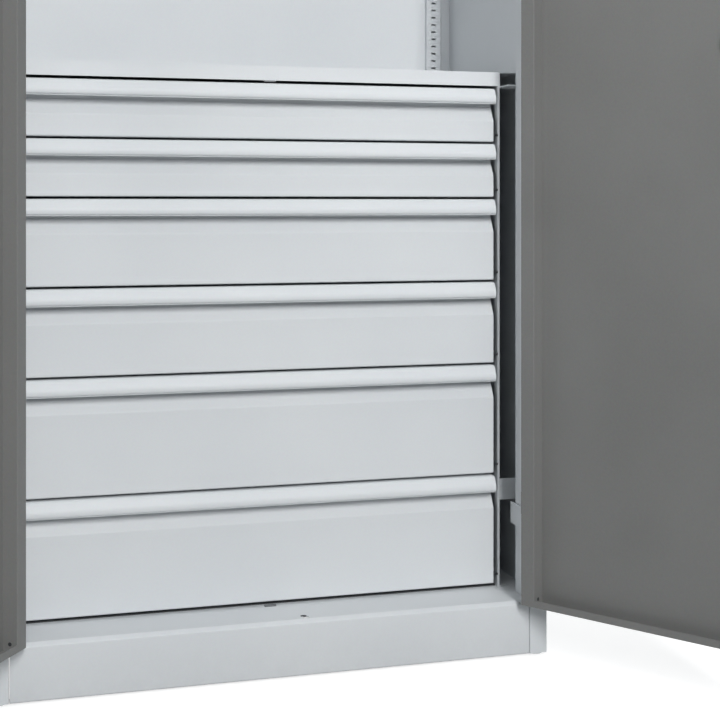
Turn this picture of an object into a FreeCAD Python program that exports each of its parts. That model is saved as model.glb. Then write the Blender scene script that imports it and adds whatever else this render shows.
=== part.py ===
import FreeCAD, Part
import math
import os
import Sketcher

# Tall sheet-steel cupboard with two hinged doors. Its lower half holds a stack of six
# full-width drawers under a fixed shelf. Millimetres, +Z up. The origin is at floor level,
# in the middle of the back; the front plane lies at Y = -cabinet_depth. The doors are
# modelled shut and then swung open about their hinge pins.

SIZES = {
    "cabinet_width": 950.0,
    "cabinet_depth": 500.0,
    "cabinet_height": 1950.0,
    "side_sheet": 1.5,
    "profile_width": 33.0,
    "profile_return": 64.0,
    "side_bend": 2.5,
    "rear_flange": 20.0,
    "back_sheet": 1.2,
    "roof_sheet": 1.5,
    "roof_drop": 35.0,
    "roof_lip": 60.0,
    "panel_joint": 0.5,
    "foot_gap": 3.0,
    "foot_radius": 9.0,
    "foot_height": 8.0,
    "foot_inset": 16.0,
    "stud_radius": 5.0,
    "stud_length": 52.0,
    "stud_clearance": 0.05,
    "drill_overrun": 1.0,
    "gusset_sheet": 3.0,
    "gusset_level": 40.0,
    "gusset_depth": 38.0,
    "floor_level": 95.0,
    "base_sheet": 1.5,
    "base_skirt": 30.0,
    "ledge_setback": 20.0,
    "plinth_sheet": 1.5,
    "plinth_flange": 50.0,
    "plinth_foot": 20.0,
    "plinth_bend": 3.0,
    "plinth_hole_radius": 2.0,
    "plinth_hole_inset": 17.0,
    "plinth_hole_setback": 9.5,
    "front_setback": 100.0,
    "pocket_mouth": 16.0,
    "housing_edge": 4.0,
    "housing_sheet": 1.5,
    "housing_hem": 15.0,
    "housing_rear_gap": 30.0,
    "housing_foot": 16.0,
    "bracket_level": 253.0,
    "bracket_height": 38.0,
    "bracket_sheet": 2.0,
    "bracket_plate_depth": 36.0,
    "stack_level": 100.0,
    "low_pitch": 100.0,
    "mid_pitch": 150.0,
    "high_pitch": 200.0,
    "drawer_reveal": 4.0,
    "stack_clearance": 3.0,
    "shelf_thickness": 25.0,
    "shelf_sheet": 1.5,
    "shelf_side_gap": 3.0,
    "shelf_front_setback": 66.0,
    "shelf_rear_gap": 2.0,
    "tab_width": 20.0,
    "tab_height": 2.5,
    "tab_depth": 6.0,
    "upright_width": 30.0,
    "upright_depth": 12.0,
    "upright_sheet": 1.5,
    "upright_corner_gap": 24.0,
    "slot_width": 9.0,
    "slot_height": 3.5,
    "slot_pitch": 15.0,
    "slot_start": 12.0,
    "shelf_step_low": 30.0,
    "shelf_step_high": 42.0,
    "clip_width": 12.0,
    "clip_reach": 18.0,
    "clip_height": 10.0,
    "clip_tongue": 8.0,
    "clip_tongue_height": 3.0,
    "door_sheet": 1.0,
    "door_thickness": 26.0,
    "door_box_width": 26.5,
    "door_free_lip": 20.0,
    "door_end_lip": 12.0,
    "door_edge_gap": 3.6,
    "door_end_gap": 1.5,
    "door_meeting_gap": 3.0,
    "door_bend": 0.9,
    "door_opening": 123.4,
    "drain_radius": 2.2,
    "hinge_inset": 1.6,
    "hinge_stand_off": 4.0,
    "hinge_barrel_radius": 3.5,
    "hinge_pin_radius": 2.0,
    "hinge_pin_foot": 2.8,
    "hinge_running_gap": 0.05,
    "hinge_half": 38.0,
    "hinge_half_gap": 0.4,
    "hinge_leaf": 2.0,
    "hinge_leaf_start": 2.4,
    "hinge_leaf_reach": 82.5,
    "hinge_door_leaf": 1.4,
    "hinge_door_reach": 24.0,
    "hinge_pin_cap": 3.0,
    "hinge_low_level": 215.0,
    "hinge_mid_level": 1200.0,
    "hinge_high_drop": 196.0,
    "strip_width": 28.0,
    "strip_overlap": 12.0,
    "strip_sheet": 1.6,
    "strip_relief": 0.8,
    "strip_end_gap": 14.0,
    "buffer_radius": 5.0,
    "buffer_height": 3.0,
    "buffer_inset": 60.0,
    "lock_level": 1050.0,
    "lock_inset": 43.0,
    "lock_depth": 15.0,
    "housing_plate_width": 34.0,
    "housing_plate_above": 60.0,
    "housing_plate_below": 95.0,
    "housing_plate_depth": 6.0,
    "handle_gap": 0.5,
    "handle_length": 120.0,
    "handle_width": 24.0,
    "handle_depth": 13.0,
    "handle_heel": 15.0,
    "handle_bend": 5.0,
    "spindle_radius": 6.0,
    "spindle_running_gap": 0.05,
    "cylinder_radius": 8.0,
    "cylinder_rise": 38.0,
    "cylinder_proud": 2.0,
    "key_slot_width": 1.6,
    "key_slot_length": 9.0,
    "key_slot_depth": 4.0,
    "cam_radius": 22.0,
    "cam_thickness": 4.0,
    "cam_depth": 5.5,
    "crank_radius": 16.0,
    "crank_pin_radius": 3.0,
    "crank_pin_length": 12.0,
    "yoke_sheet": 2.0,
    "yoke_margin": 3.5,
    "yoke_gap": 0.4,
    "yoke_relief": 4.0,
    "rod_radius": 4.0,
    "rod_hole_radius": 7.0,
    "rod_running_gap": 0.05,
    "rod_hole_gap": 1.0,
    "rod_retreat": 2.0,
    "guide_width": 18.0,
    "guide_height": 12.0,
    "guide_offset": 260.0,
    "guide_end_offset": 130.0,
    "drawer_side_gap": 8.0,
    "front_sheet": 1.2,
    "front_box_depth": 18.0,
    "lip_proud": 14.0,
    "lip_height": 29.0,
    "lip_round": 12.0,
    "recess_depth": 15.0,
    "recess_slant": 5.0,
    "recess_height": 59.0,
    "recess_back": 1.9,
    "recess_back_rise": 1.1,
    "slope_back_drop": 0.4,
    "box_sheet": 1.2,
    "box_rear_gap": 7.3,
    "box_side_gap": 22.5,
    "box_rise": 8.0,
    "box_top_gap": 24.0,
    "rail_sheet": 1.5,
    "rail_height": 26.0,
    "rail_flange": 7.0,
    "rail_level": 30.0,
    "rail_front_gap": 2.0,
    "middle_bar": 3.0,
    "middle_bar_height": 20.0,
    "middle_gap": 0.5,
    "roller_running_gap": 0.05,
    "roller_end_gap": 0.8,
    "roller_inset": 12.0,
    "roller_spacing": 160.0,
}
DRAWER_PITCHES = ["low_pitch", "low_pitch", "mid_pitch", "mid_pitch", "high_pitch", "high_pitch"]
LEFT = -1
RIGHT = 1

doc = FreeCAD.newDocument("DrawerCabinet")
sheet = doc.addObject("Spreadsheet::Sheet", "Sizes")
for row, (alias, number) in enumerate(SIZES.items(), start=1):
    sheet.set(f"A{row}", alias)
    sheet.set(f"B{row}", str(number))
    sheet.setAlias(f"B{row}", alias)
doc.recompute()


class Term:
    """A length with its present number and the expression that binds it to the sheet."""

    def __init__(self, text, number):
        self.text = text
        self.number = float(number)

    def __add__(self, other):
        other = term(other)
        return Term(f"({self.text} + {other.text})", self.number + other.number)

    def __sub__(self, other):
        other = term(other)
        return Term(f"({self.text} - {other.text})", self.number - other.number)

    def __mul__(self, other):
        other = term(other)
        return Term(f"({self.text} * {other.text})", self.number * other.number)

    def __truediv__(self, other):
        other = term(other)
        return Term(f"({self.text} / {other.text})", self.number / other.number)

    def __radd__(self, other):
        return term(other) + self

    def __rsub__(self, other):
        return term(other) - self

    def __rmul__(self, other):
        return term(other) * self

    def __neg__(self):
        return Term(f"(-1 * {self.text})", -self.number)


def term(value):
    return value if isinstance(value, Term) else Term(repr(float(value)), value)


def size(alias):
    return Term(f"Sizes.{alias}", sheet.get(alias))


def cosine(angle):
    return Term(f"cos({angle.text})", math.cos(math.radians(angle.number)))


def sine(angle):
    return Term(f"sin({angle.text})", math.sin(math.radians(angle.number)))


def bind(feature, path, value):
    feature.setExpression(path, term(value).text)


def place(feature, x=0, y=0, z=0):
    for axis, value in zip("xyz", (x, y, z)):
        bind(feature, f"Placement.Base.{axis}", value)
    return feature


subparts = {}


def keep(label, feature):
    """Name a finished piece."""
    feature.Label = label
    subparts[label] = feature
    return feature


def box(name, xs, ys, zs):
    """A block between two X, two Y and two Z values, given low then high."""
    feature = doc.addObject("Part::Box", name)
    for path, (low, high) in zip(("Length", "Width", "Height"), (xs, ys, zs)):
        bind(feature, path, term(high) - low)
    return place(feature, xs[0], ys[0], zs[0])


def mirrored(side, low, high):
    """An X span on the right, or the same span mirrored to the left."""
    return (low, high) if side == RIGHT else (-high, -low)


ROD_TURNS = {
    "Z": FreeCAD.Rotation(),
    "Y": FreeCAD.Rotation(FreeCAD.Vector(1, 0, 0), -90),
    "X": FreeCAD.Rotation(FreeCAD.Vector(0, 1, 0), 90),
}


def rod(name, radius, length, axis, x, y, z):
    """A round bar that starts at x, y, z and runs along the positive axis."""
    feature = doc.addObject("Part::Cylinder", name)
    bind(feature, "Radius", radius)
    bind(feature, "Height", length)
    feature.Placement = FreeCAD.Placement(FreeCAD.Vector(), ROD_TURNS[axis])
    return place(feature, x, y, z)


def drill(name, radius, depth, axis, x, y, z):
    """A bar that cuts a hole of the given depth from x, y, z, and overruns it at both ends."""
    overrun = size("drill_overrun")
    start = {"X": x, "Y": y, "Z": z}
    start[axis] = start[axis] - overrun
    return rod(name, radius, depth + 2 * overrun, axis, start["X"], start["Y"], start["Z"])


def joined(name, pieces):
    feature = doc.addObject("Part::MultiFuse", name)
    feature.Shapes = pieces
    feature.Refine = True
    return feature


def drilled(name, base, tools):
    feature = doc.addObject("Part::Cut", name)
    feature.Base = base
    feature.Tool = tools[0] if len(tools) == 1 else joined(name + "_tools", tools)
    feature.Refine = True
    return feature


def group(name, pieces):
    feature = doc.addObject("Part::Compound", name)
    feature.Links = pieces
    return feature


PLANE_AXES = {"XY_Plane": (0, 1), "XZ_Plane": (0, 2), "YZ_Plane": (1, 2)}


def origin_part(body, role):
    return [part for part in body.Origin.OriginFeatures if part.Role == role][0]


def sketch_on(body, role, loops, name):
    """Closed outlines whose corners are bound to the sheet, on one of the body's own planes."""
    sketch = body.newObject("Sketcher::SketchObject", name)
    sketch.AttachmentSupport = [(origin_part(body, role), "")]
    sketch.MapMode = "FlatFace"
    for loop in loops:
        first = len(sketch.Geometry)
        corners = [(term(u), term(v)) for u, v in loop]
        for at, (u, v) in enumerate(corners):
            after = corners[(at + 1) % len(corners)]
            start = FreeCAD.Vector(u.number, v.number, 0)
            end = FreeCAD.Vector(after[0].number, after[1].number, 0)
            sketch.addGeometry(Part.LineSegment(start, end), False)
        for at, (u, v) in enumerate(corners):
            line = first + at
            follower = first + (at + 1) % len(corners)
            sketch.addConstraint(Sketcher.Constraint("Coincident", line, 2, follower, 1))
            for kind, value in (("DistanceX", u), ("DistanceY", v)):
                rule = Sketcher.Constraint(kind, -1, 1, line, 1, value.number)
                bind(sketch, f"Constraints[{sketch.addConstraint(rule)}]", value)
    return sketch


def folded(name, role, loops, length):
    """A body padded from an outline along the normal of its plane."""
    body = doc.addObject("PartDesign::Body", name)
    pad = body.newObject("PartDesign::Pad", name + "_pad")
    pad.Profile = sketch_on(body, role, loops, name + "_outline")
    bind(pad, "Length", length)
    return body


def bend(body, role, corners, radius):
    """Round the long edges that stand on the given corners of the outline."""
    doc.recompute()
    first, second = PLANE_AXES[role]
    base = body.Tip
    names = []
    for number, edge in enumerate(base.Shape.Edges, start=1):
        ends = [vertex.Point for vertex in edge.Vertexes]
        for u, v in corners:
            on_line = [
                abs(end[first] - term(u).number) < 0.001 and abs(end[second] - term(v).number) < 0.001
                for end in ends
            ]
            if len(ends) == 2 and all(on_line):
                names.append(f"Edge{number}")
    if len(names) < len(corners):
        raise ValueError(f"{body.Name}: {len(names)} of {len(corners)} edges found")
    fillet = body.newObject("PartDesign::Fillet", body.Name + "_bend")
    fillet.Base = (base, names)
    bind(fillet, "Radius", radius)
    body.Tip = fillet
    return body


half_width = size("cabinet_width") / 2
skin_inside = half_width - size("side_sheet")
profile_edge = half_width - size("profile_width")
front = -size("cabinet_depth")
back_face = -size("back_sheet")
rear_flange_face = back_face - size("side_sheet")
roof_under = size("cabinet_height") - size("roof_sheet")
profile_rear = front + size("profile_return")
drawer_face = front + size("front_setback")
housing_outside = profile_edge - size("pocket_mouth")
housing_inside = housing_outside - size("housing_edge")
housing_rear = rear_flange_face - size("housing_rear_gap")
stack_top = size("stack_level") + 2 * (size("low_pitch") + size("mid_pitch") + size("high_pitch"))
shelf_under = stack_top + size("stack_clearance")
shelf_top = shelf_under + size("shelf_thickness")
lock_y = front + size("lock_depth")


# Side panels: one folded sheet each, with the front profile and its return leg, and a
# narrow flange behind that the back panel lies against.
def side_panel(side, label):
    outer = side * half_width
    inner = side * skin_inside
    edge = side * profile_edge
    leg = side * (profile_edge + size("side_sheet"))
    flange = side * (half_width - size("rear_flange"))
    front_inside = front + size("side_sheet")
    outline = [
        (outer, 0),
        (outer, front),
        (edge, front),
        (edge, profile_rear),
        (leg, profile_rear),
        (leg, front_inside),
        (inner, front_inside),
        (inner, rear_flange_face),
        (flange, rear_flange_face),
        (flange, back_face),
        (inner, back_face),
        (inner, 0),
    ]
    body = folded(label, "XY_Plane", [outline], roof_under - size("foot_gap"))
    place(body, z=size("foot_gap"))
    bend(body, "XY_Plane", [(outer, front), (edge, front)], size("side_bend"))
    keep(label, body)


side_panel(LEFT, "side_panel_left")
side_panel(RIGHT, "side_panel_right")
keep("back_panel", box("back", (-skin_inside, skin_inside), (back_face, 0), (size("foot_gap"), roof_under)))


def rod_hole(name, low, high):
    """The clear hole that a lock rod drops or rises through."""
    return drill(name, size("rod_hole_radius"), high - low, "Z", size("lock_inset"), lock_y, low)


# Roof: a flat top over the side panels, folded down at the front into the head rail with
# a lip behind it that takes the upper lock rod.
opening_reach = profile_edge - size("panel_joint")
head_under = size("cabinet_height") - size("roof_drop")
lip_top = head_under + size("roof_sheet")
head_profile = [
    (front, head_under),
    (front + size("roof_lip"), head_under),
    (front + size("roof_lip"), lip_top),
    (front + size("roof_sheet"), lip_top),
    (front + size("roof_sheet"), roof_under),
    (front, roof_under),
]
head_rail = folded("head_rail", "YZ_Plane", [head_profile], 2 * opening_reach)
place(head_rail, x=-opening_reach)
roof_top = box("roof_top", (-half_width, half_width), (front, 0), (roof_under, size("cabinet_height")))
roof = joined("roof", [roof_top, head_rail])
keep("roof_panel", drilled("roof_drilled", roof, [rod_hole("roof_rod_hole", head_under, lip_top)]))

# Base pan: the cupboard's floor, whose front edge makes the sill ledge. It fits round the
# return legs of the side panels, has skirts against them, and lies on the plinth flange.
pan_under = size("floor_level") - size("base_sheet")
pan_front = front + size("ledge_setback")
pan_step = profile_rear + size("panel_joint")
skirt_under = size("floor_level") - size("base_skirt")
pan_levels = (pan_under, size("floor_level"))
pan_pieces = [
    box("pan_ledge", (-opening_reach, opening_reach), (pan_front, pan_step), pan_levels),
    box("pan_floor", (-skin_inside, skin_inside), (pan_step, rear_flange_face), pan_levels),
]
for side, word in ((LEFT, "left"), (RIGHT, "right")):
    across = mirrored(side, skin_inside - size("base_sheet"), skin_inside)
    skirt = box(f"pan_skirt_{word}", across, (pan_step, rear_flange_face), (skirt_under, size("floor_level")))
    pan_pieces.append(skirt)
pan = joined("pan", pan_pieces)
keep("base_pan", drilled("pan_drilled", pan, [rod_hole("pan_rod_hole", *pan_levels)]))

# Plinth: a folded front between the side profiles, with a top flange under the pan.
plinth_top = pan_under
plinth_sheet_under = plinth_top - size("plinth_sheet")
plinth_profile = [
    (front, size("foot_gap")),
    (front + size("plinth_foot"), size("foot_gap")),
    (front + size("plinth_foot"), size("foot_gap") + size("plinth_sheet")),
    (front + size("plinth_sheet"), size("foot_gap") + size("plinth_sheet")),
    (front + size("plinth_sheet"), plinth_sheet_under),
    (front + size("plinth_flange"), plinth_sheet_under),
    (front + size("plinth_flange"), plinth_top),
    (front, plinth_top),
]
plinth = folded("plinth", "YZ_Plane", [plinth_profile], 2 * opening_reach)
bend(plinth, "YZ_Plane", [(front, plinth_top)], size("plinth_bend"))
place(plinth, x=-opening_reach)
plinth_holes = [rod_hole("plinth_rod_hole", plinth_sheet_under, plinth_top)]
for side, word in ((LEFT, "left"), (RIGHT, "right")):
    hole = drill(
        f"plinth_hole_{word}",
        size("plinth_hole_radius"),
        size("plinth_sheet"),
        "Z",
        side * (opening_reach - size("plinth_hole_inset")),
        front + size("plinth_hole_setback"),
        plinth_sheet_under,
    )
    plinth_holes.append(hole)
keep("plinth_front", drilled("plinth_drilled", plinth, plinth_holes))

# Levelling feet in the four corner pockets, each with its stud through a welded gusset.
foot_x = (profile_edge + size("side_sheet") + skin_inside) / 2
foot_front = front + size("foot_inset")
foot_rear = rear_flange_face - size("foot_inset")
feet = []
gussets = []
for side, word in ((LEFT, "left"), (RIGHT, "right")):
    for y, end in ((foot_front, "front"), (foot_rear, "rear")):
        name = f"{end}_{word}"
        sole = rod(f"sole_{name}", size("foot_radius"), size("foot_height"), "Z", side * foot_x, y, 0)
        stud_length = size("foot_height") + size("stud_length")
        stud = rod(f"stud_{name}", size("stud_radius"), stud_length, "Z", side * foot_x, y, 0)
        feet.append(joined(f"foot_{name}", [sole, stud]))
        across = mirrored(side, profile_edge + size("side_sheet"), skin_inside)
        if end == "front":
            along = (front + size("side_sheet"), front + size("gusset_depth"))
        else:
            along = (rear_flange_face - size("gusset_depth"), rear_flange_face)
        levels = (size("gusset_level"), size("gusset_level") + size("gusset_sheet"))
        plate = box(f"gusset_{name}", across, along, levels)
        bore_radius = size("stud_radius") + size("stud_clearance")
        bore = drill(
            f"gusset_bore_{name}", bore_radius, size("gusset_sheet"), "Z", side * foot_x, y, levels[0]
        )
        gussets.append(drilled(f"gusset_drilled_{name}", plate, [bore]))
keep("levelling_feet", group("feet", feet))
keep("foot_gussets", group("gussets", gussets))

# Drawer housing: two upright sheets that carry the runners, hemmed at the front and footed
# on the pan. Brackets tie them to the side panels across the pockets.
brackets = []
for side, word in ((LEFT, "left"), (RIGHT, "right")):
    plate_inside = housing_outside - size("housing_sheet")
    levels = (size("floor_level"), shelf_under)
    across = mirrored(side, plate_inside, housing_outside)
    plate = box(f"housing_plate_{word}", across, (drawer_face, housing_rear), levels)
    across = mirrored(side, housing_inside, housing_outside)
    hem = box(f"housing_hem_{word}", across, (drawer_face, drawer_face + size("housing_hem")), levels)
    across = mirrored(side, housing_outside, housing_outside + size("housing_foot"))
    foot_levels = (size("floor_level"), size("floor_level") + size("housing_sheet"))
    flange = box(f"housing_flange_{word}", across, (drawer_face, housing_rear), foot_levels)
    keep(f"drawer_housing_{word}", joined(f"housing_{word}", [plate, hem, flange]))
    across = mirrored(side, housing_outside, skin_inside)
    upright_levels = (size("bracket_level"), size("bracket_level") + size("bracket_height"))
    along = (drawer_face, drawer_face + size("bracket_sheet"))
    brackets.append(box(f"bracket_upright_{word}", across, along, upright_levels))
    along = (drawer_face - size("bracket_plate_depth"), drawer_face)
    top_levels = (shelf_under - size("bracket_sheet"), shelf_under)
    cap = box(f"bracket_cap_{word}", across, along, top_levels)
    tie_along = (drawer_face, drawer_face + size("bracket_plate_depth"))
    tie = box(f"bracket_tie_{word}", across, tie_along, top_levels)
    brackets.append(joined(f"bracket_top_{word}", [cap, tie]))
keep("pocket_brackets", group("brackets", brackets))


def shelf_pan(name, reach, shelf_front, rear, level):
    """A flat top with skirts turned down on all four sides; level is its upper face."""
    skirt = size("shelf_sheet")
    under = level - size("shelf_thickness")
    return [
        box(f"{name}_top", (-reach, reach), (shelf_front, rear), (level - skirt, level)),
        box(f"{name}_left", (-reach, skirt - reach), (shelf_front, rear), (under, level)),
        box(f"{name}_right", (reach - skirt, reach), (shelf_front, rear), (under, level)),
        box(f"{name}_rear", (-reach, reach), (rear - skirt, rear), (under, level)),
    ]


# Fixed shelf over the drawers. Its front strip also closes the pockets at the top.
fixed_pieces = shelf_pan("fixed", skin_inside, drawer_face, rear_flange_face, shelf_top)
strip_across = (-skin_inside, skin_inside)
strip_along = (drawer_face, drawer_face + size("shelf_sheet"))
fixed_pieces.append(box("fixed_strip", strip_across, strip_along, (shelf_under, shelf_top)))
keep("fixed_shelf", joined("fixed", fixed_pieces))

# Small centre tabs that mark the middle under the shelf strip and on the sill.
tab_reach = size("tab_width") / 2
tab_under = box(
    "tab_under_shelf",
    (-tab_reach, tab_reach),
    (drawer_face, drawer_face + size("tab_depth")),
    (shelf_under - size("tab_height"), shelf_under),
)
tab_sill = box(
    "tab_on_sill",
    (-tab_reach, tab_reach),
    (drawer_face - size("tab_depth"), drawer_face),
    (size("floor_level"), size("floor_level") + size("tab_height")),
)
keep("centre_tabs", group("tabs", [tab_under, tab_sill]))

# Slotted uprights: channels that stand on the fixed shelf, two on the back panel and two
# inside the front profiles, with one slot every slot_pitch.
upright_height = roof_under - shelf_top
rear_upright_x = skin_inside - size("upright_corner_gap") - size("upright_width") / 2
front_upright_x = (profile_edge + size("side_sheet") + skin_inside) / 2
front_upright_width = skin_inside - profile_edge - size("side_sheet")


def upright(name, width, facing, x, y):
    """A channel with its web towards facing, +1 to the rear or -1 to the front."""
    reach = width / 2
    wall = size("upright_sheet")
    depth = facing * size("upright_depth")
    web = facing * (size("upright_depth") - wall)
    outline = [
        (-reach, 0),
        (-reach, depth),
        (reach, depth),
        (reach, 0),
        (reach - wall, 0),
        (reach - wall, web),
        (wall - reach, web),
        (wall - reach, 0),
    ]
    body = folded(name, "XY_Plane", [outline], upright_height)
    slot_reach = size("slot_width") / 2
    slot_top = size("slot_start") + size("slot_height")
    slot = [
        (-slot_reach, size("slot_start")),
        (slot_reach, size("slot_start")),
        (slot_reach, slot_top),
        (-slot_reach, slot_top),
    ]
    pocket = body.newObject("PartDesign::Pocket", name + "_slot")
    pocket.Profile = sketch_on(body, "XZ_Plane", [slot], name + "_slot_outline")
    pocket.Type = "ThroughAll"
    pocket.Midplane = True
    pattern = body.newObject("PartDesign::LinearPattern", name + "_slots")
    pattern.Originals = [pocket]
    pattern.Direction = (origin_part(body, "Z_Axis"), [""])
    gaps = f"floor(({(upright_height - 2 * slot_top).text}) / {size('slot_pitch').text})"
    pattern.setExpression("Occurrences", f"{gaps} + 1")
    pattern.setExpression("Length", f"{gaps} * {size('slot_pitch').text}")
    body.Tip = pattern
    return place(body, x, y, shelf_top)


rear_uprights = []
front_uprights = []
for side, word in ((LEFT, "left"), (RIGHT, "right")):
    rear_uprights.append(
        upright(f"rear_upright_{word}", size("upright_width"), -1, side * rear_upright_x, back_face)
    )
    front_y = profile_rear - size("upright_depth") - size("panel_joint")
    front_uprights.append(
        upright(f"front_upright_{word}", front_upright_width, 1, side * front_upright_x, front_y)
    )
keep("shelf_uprights_rear", group("uprights_rear", rear_uprights))
keep("shelf_uprights_front", group("uprights_front", front_uprights))

# Adjustable shelves hang on clips, four to a shelf, whose tongues sit in the slots.
rear_upright_face = back_face - size("upright_depth")
front_upright_face = profile_rear - size("panel_joint")
adjustable_reach = skin_inside - size("shelf_side_gap")
adjustable_front = front + size("shelf_front_setback")
adjustable_rear = rear_upright_face - size("shelf_rear_gap")


def adjustable_shelf(word, step):
    slot_floor = shelf_top + size("slot_start") + size("slot_pitch") * step
    under = slot_floor + size("clip_height") - size("clip_tongue_height")
    level = under + size("shelf_thickness")
    pieces = shelf_pan(word, adjustable_reach, adjustable_front, adjustable_rear, level)
    across = (-adjustable_reach, adjustable_reach)
    along = (adjustable_front, adjustable_front + size("shelf_sheet"))
    pieces.append(box(f"{word}_front", across, along, (under, level)))
    keep(f"adjustable_shelf_{word}", joined(f"{word}_shelf", pieces))
    clips = []
    for side, hand in ((LEFT, "left"), (RIGHT, "right")):
        for x, face, facing, end in (
            (rear_upright_x, rear_upright_face, -1, "rear"),
            (front_upright_x, front_upright_face, 1, "front"),
        ):
            name = f"{word}_{hand}_{end}"
            reach = size("clip_width") / 2
            tongue_reach = (size("slot_width") - size("panel_joint")) / 2
            out = face + facing * size("clip_reach")
            into = face - facing * size("clip_tongue")
            along = (face, out) if facing == 1 else (out, face)
            tongue_along = (into, face) if facing == 1 else (face, into)
            centre = side * x
            block_levels = (under - size("clip_height"), under)
            block = box(f"clip_{name}", (centre - reach, centre + reach), along, block_levels)
            tongue_floor = slot_floor + (size("slot_height") - size("clip_tongue_height")) / 2
            tongue = box(
                f"clip_tongue_{name}",
                (centre - tongue_reach, centre + tongue_reach),
                tongue_along,
                (tongue_floor, tongue_floor + size("clip_tongue_height")),
            )
            clips.append(joined(f"clip_whole_{name}", [block, tongue]))
    return clips


shelf_clips = adjustable_shelf("lower", size("shelf_step_low"))
shelf_clips += adjustable_shelf("upper", size("shelf_step_high"))
keep("shelf_clips", group("clips", shelf_clips))

# Hinges: weld-on barrels in front of the profile edge. The frame half carries the pin and
# its leaf lies on the return leg; the door half turns on the pin above it.
pivot_x = profile_edge - size("hinge_inset")
pivot_y = front - size("hinge_stand_off")
door_edge = profile_edge - size("door_edge_gap")
door_free = size("door_meeting_gap") / 2
door_inner = front + size("door_thickness")
door_bottom = size("floor_level") + size("door_end_gap")
door_top = head_under - size("door_end_gap")
hinge_high_level = head_under - size("hinge_high_drop")
hinge_levels = [size("hinge_low_level"), size("hinge_mid_level"), hinge_high_level]
barrel_bore = size("hinge_pin_radius") + size("hinge_running_gap")


def hinge_half(name, side, low, high, across, along):
    """A barrel with its bore and the leaf that joins it."""
    centre = side * pivot_x
    barrel = rod(f"{name}_barrel", size("hinge_barrel_radius"), high - low, "Z", centre, pivot_y, low)
    leaf = box(f"{name}_leaf", across, along, (low, high))
    bore = drill(f"{name}_bore", barrel_bore, high - low, "Z", centre, pivot_y, low)
    return drilled(name, joined(f"{name}_solid", [barrel, leaf]), [bore])


def swing(label, side, pieces):
    """Gather pieces of a shut door and turn them about the hinge pin to the open door."""
    feature = group(label + "_open", pieces)
    angle = side * size("door_opening")
    x = side * pivot_x
    turned_x = x * cosine(angle) - pivot_y * sine(angle)
    turned_y = x * sine(angle) + pivot_y * cosine(angle)
    bind(feature, "Placement.Rotation.Angle", angle)
    place(feature, x - turned_x, pivot_y - turned_y, 0)
    return keep(label, feature)


frame_leaves = []
hinge_pins = []
door_leaves = {LEFT: [], RIGHT: []}
for side, word in ((LEFT, "left"), (RIGHT, "right")):
    for number, low in enumerate(hinge_levels, start=1):
        middle = low + size("hinge_half")
        across = mirrored(side, profile_edge - size("hinge_leaf"), profile_edge)
        along = (pivot_y + size("hinge_leaf_start"), front + size("hinge_leaf_reach"))
        frame_leaves.append(hinge_half(f"frame_hinge_{word}_{number}", side, low, middle, across, along))
        across = mirrored(side, door_edge, door_edge + size("hinge_door_leaf"))
        along = (pivot_y + size("hinge_leaf_start"), front + size("hinge_door_reach"))
        raised = middle + size("hinge_half_gap")
        top = raised + size("hinge_half")
        door_leaves[side].append(hinge_half(f"door_hinge_{word}_{number}", side, raised, top, across, along))
        centre = side * pivot_x
        cap = size("hinge_pin_cap")
        name = f"{word}_{number}"
        shank = rod(f"hinge_shank_{name}", size("hinge_pin_radius"), top - low, "Z", centre, pivot_y, low)
        foot = rod(f"hinge_foot_{name}", size("hinge_pin_foot"), cap, "Z", centre, pivot_y, low - cap)
        hinge_pins.append(joined(f"hinge_pin_{name}", [shank, foot]))
keep("frame_hinge_halves", group("frame_halves", frame_leaves))
keep("hinge_pins", group("pins", hinge_pins))


# Doors: a pan of folded sheet with a closed box profile along the hinge side, and lips on
# the other three sides.
def door_pan(side, word):
    wall = size("door_sheet")
    fold = door_edge - size("door_box_width")
    lip = door_free + size("door_free_lip")
    outline = [
        (door_free, front),
        (door_edge, front),
        (door_edge, door_inner),
        (fold, door_inner),
        (fold, front + wall),
        (door_free + wall, front + wall),
        (door_free + wall, door_inner - wall),
        (lip, door_inner - wall),
        (lip, door_inner),
        (door_free, door_inner),
    ]
    hollow = [
        (door_edge - wall, front + wall),
        (door_edge - wall, door_inner - wall),
        (fold + wall, door_inner - wall),
        (fold + wall, front + wall),
    ]
    loops = [[(side * u, v) for u, v in loop] for loop in (outline, hollow)]
    body = folded(f"door_{word}", "XY_Plane", loops, door_top - door_bottom)
    place(body, z=door_bottom)
    rounded = [(door_free, front), (door_edge, front), (door_edge, door_inner), (fold, door_inner)]
    bend(body, "XY_Plane", [(side * u, v) for u, v in rounded], size("door_bend"))
    along = (front + wall / 2, door_inner - wall / 2)
    across = mirrored(side, door_free + wall / 2, door_edge - wall / 2)
    lip_across = mirrored(side, lip - wall, fold + wall)
    lip_along = (door_inner - wall, door_inner)
    pieces = [body]
    for end, low, facing in (("bottom", door_bottom, 1), ("top", door_top, -1)):
        wall_span = (low, low + wall) if facing == 1 else (low - wall, low)
        lip_span = (low, low + size("door_end_lip")) if facing == 1 else (low - size("door_end_lip"), low)
        pieces.append(box(f"door_{word}_{end}_wall", across, along, wall_span))
        pieces.append(box(f"door_{word}_{end}_lip", lip_across, lip_along, lip_span))
    drains = []
    for end, z in (("bottom", door_bottom + size("door_end_lip")), ("top", door_top - size("door_end_lip"))):
        near, _ = mirrored(side, fold, fold + wall)
        centre_y = (front + door_inner) / 2
        name = f"door_{word}_{end}_drain"
        drains.append(drill(name, size("drain_radius"), wall, "X", near, centre_y, z))
    return joined(f"door_{word}_whole", pieces), drains


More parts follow.
